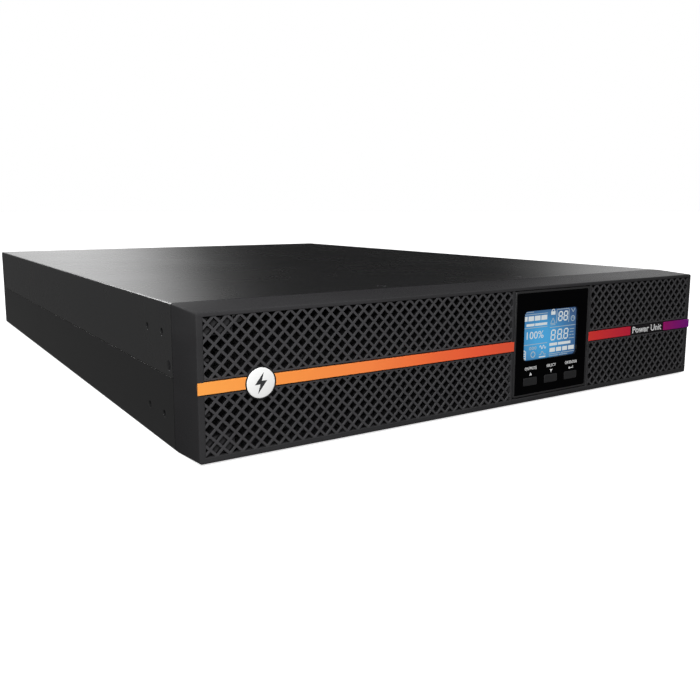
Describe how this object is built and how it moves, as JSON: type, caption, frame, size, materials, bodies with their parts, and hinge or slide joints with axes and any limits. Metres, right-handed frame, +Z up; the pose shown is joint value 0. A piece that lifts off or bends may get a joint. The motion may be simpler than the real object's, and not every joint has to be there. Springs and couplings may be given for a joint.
{
  "type": "uninterruptible power supply",
  "caption": "Flat steel case with a lattice front, a square display module and a coloured stripe, a pull-out battery drawer behind it, and fans and sockets at the back.",
  "frame": {"origin": "middle of the base, half way along the depth", "axes": "+Z up from the base, +Y from the bezel to the sockets at the back, X across the width"},
  "size_m": [0.438, 0.63, 0.086],
  "materials": {
    "black_steel": "satin",
    "zinc_steel": "satin",
    "black_plastic": "matte",
    "key_plastic": "matte",
    "stripe_orange": "satin",
    "stripe_crimson": "satin",
    "stripe_purple": "satin",
    "nameplate_dark": "satin",
    "badge_white": "gloss",
    "lens_black": "gloss",
    "lcd_blue": "gloss",
    "board_green": "satin",
    "ribbon_grey": "matte",
    "battery_grey": "matte",
    "lead_red": "satin",
    "sink_aluminium": "satin",
    "semiconductor": "matte",
    "capacitor_blue": "satin",
    "core_copper": "satin",
    "core_dark": "matte",
    "breaker_black": "matte"
  },
  "bodies": {
    "chassis": {"base_chassis": "black_steel", "top_cover": "black_steel", "front_plate": "black_steel", "rear_panel": "black_steel", "slot_cover": "black_steel", "cover_screws": "black_steel", "ear_nuts": "black_steel", "battery_bay": "zinc_steel", "panel_screws": "zinc_steel", "fan_guards": "zinc_steel", "ball_catches": "black_plastic", "drawer_socket": "black_plastic", "fan_frame_1": "black_plastic", "fan_frame_2": "black_plastic", "small_outlets": "black_plastic", "large_outlet": "black_plastic", "power_inlet": "black_plastic", "breaker_body": "black_plastic", "battery_port": "black_plastic", "signal_ports": "black_plastic", "main_board": "board_green", "heatsinks": "sink_aluminium", "power_transistors": "semiconductor", "bus_capacitors": "capacitor_blue", "chokes": "core_copper", "transformer": "core_dark"},
    "drawer": {"battery_tray": "black_steel", "tray_handle": "black_plastic", "tray_screws": "zinc_steel", "battery_links": "lead_red", "battery_strap": "black_plastic", "drawer_plug": "black_plastic", "battery_1": "battery_grey", "battery_2": "battery_grey", "battery_3": "battery_grey", "battery_4": "battery_grey", "battery_5": "battery_grey", "battery_6": "battery_grey"},
    "bezel": {"front_bezel": "black_plastic", "grille_left": "black_plastic", "grille_right": "black_plastic", "stripe_left": "stripe_orange", "stripe_middle": "stripe_crimson", "stripe_right": "stripe_purple", "nameplate": "nameplate_dark", "badge_ring": "black_plastic", "badge_disc": "badge_white", "ball_studs": "black_plastic"},
    "display": {"display_housing": "black_plastic", "display_lens": "lens_black", "lcd_module": "lcd_blue", "display_board": "board_green", "tact_switches": "black_plastic", "display_ribbon": "ribbon_grey"},
    "key_on": {"button_on": "key_plastic"},
    "key_select": {"button_select": "key_plastic"},
    "key_enter": {"button_enter": "key_plastic"},
    "rotor_1": {"fan_rotor_1": "black_plastic"},
    "rotor_2": {"fan_rotor_2": "black_plastic"},
    "reset": {"breaker_button": "breaker_black"}
  },
  "joints": [
    {"name": "drawer_slide", "type": "slide", "parent": "chassis", "child": "drawer", "axis": [0, -1, 0], "range_m": [0, 0.46]},
    {"name": "bezel_pull", "type": "slide", "parent": "drawer", "child": "bezel", "axis": [0, -1, 0], "range_m": [0, 0.12]},
    {"name": "display_draw", "type": "slide", "parent": "bezel", "child": "display", "axis": [0, -1, 0], "range_m": [0, 0.024]},
    {"name": "key_on_press", "type": "slide", "parent": "display", "child": "key_on", "axis": [0, 1, 0], "range_m": [0, 0.0006], "stiffness_N_per_m": 600, "springref_m": -0.0006},
    {"name": "key_select_press", "type": "slide", "parent": "display", "child": "key_select", "axis": [0, 1, 0], "range_m": [0, 0.0006], "stiffness_N_per_m": 600, "springref_m": -0.0006},
    {"name": "key_enter_press", "type": "slide", "parent": "display", "child": "key_enter", "axis": [0, 1, 0], "range_m": [0, 0.0006], "stiffness_N_per_m": 600, "springref_m": -0.0006},
    {"name": "fan_1_spin", "type": "hinge", "parent": "chassis", "child": "rotor_1", "pos_m": [0.088, 0.3, 0.043], "axis": [0, 1, 0], "continuous": true},
    {"name": "fan_2_spin", "type": "hinge", "parent": "chassis", "child": "rotor_2", "pos_m": [0.172, 0.3, 0.043], "axis": [0, 1, 0], "continuous": true},
    {"name": "reset_press", "type": "slide", "parent": "chassis", "child": "reset", "axis": [0, -1, 0], "range_m": [0, 0.0015], "stiffness_N_per_m": 800, "springref_m": -0.0008}
  ]
}
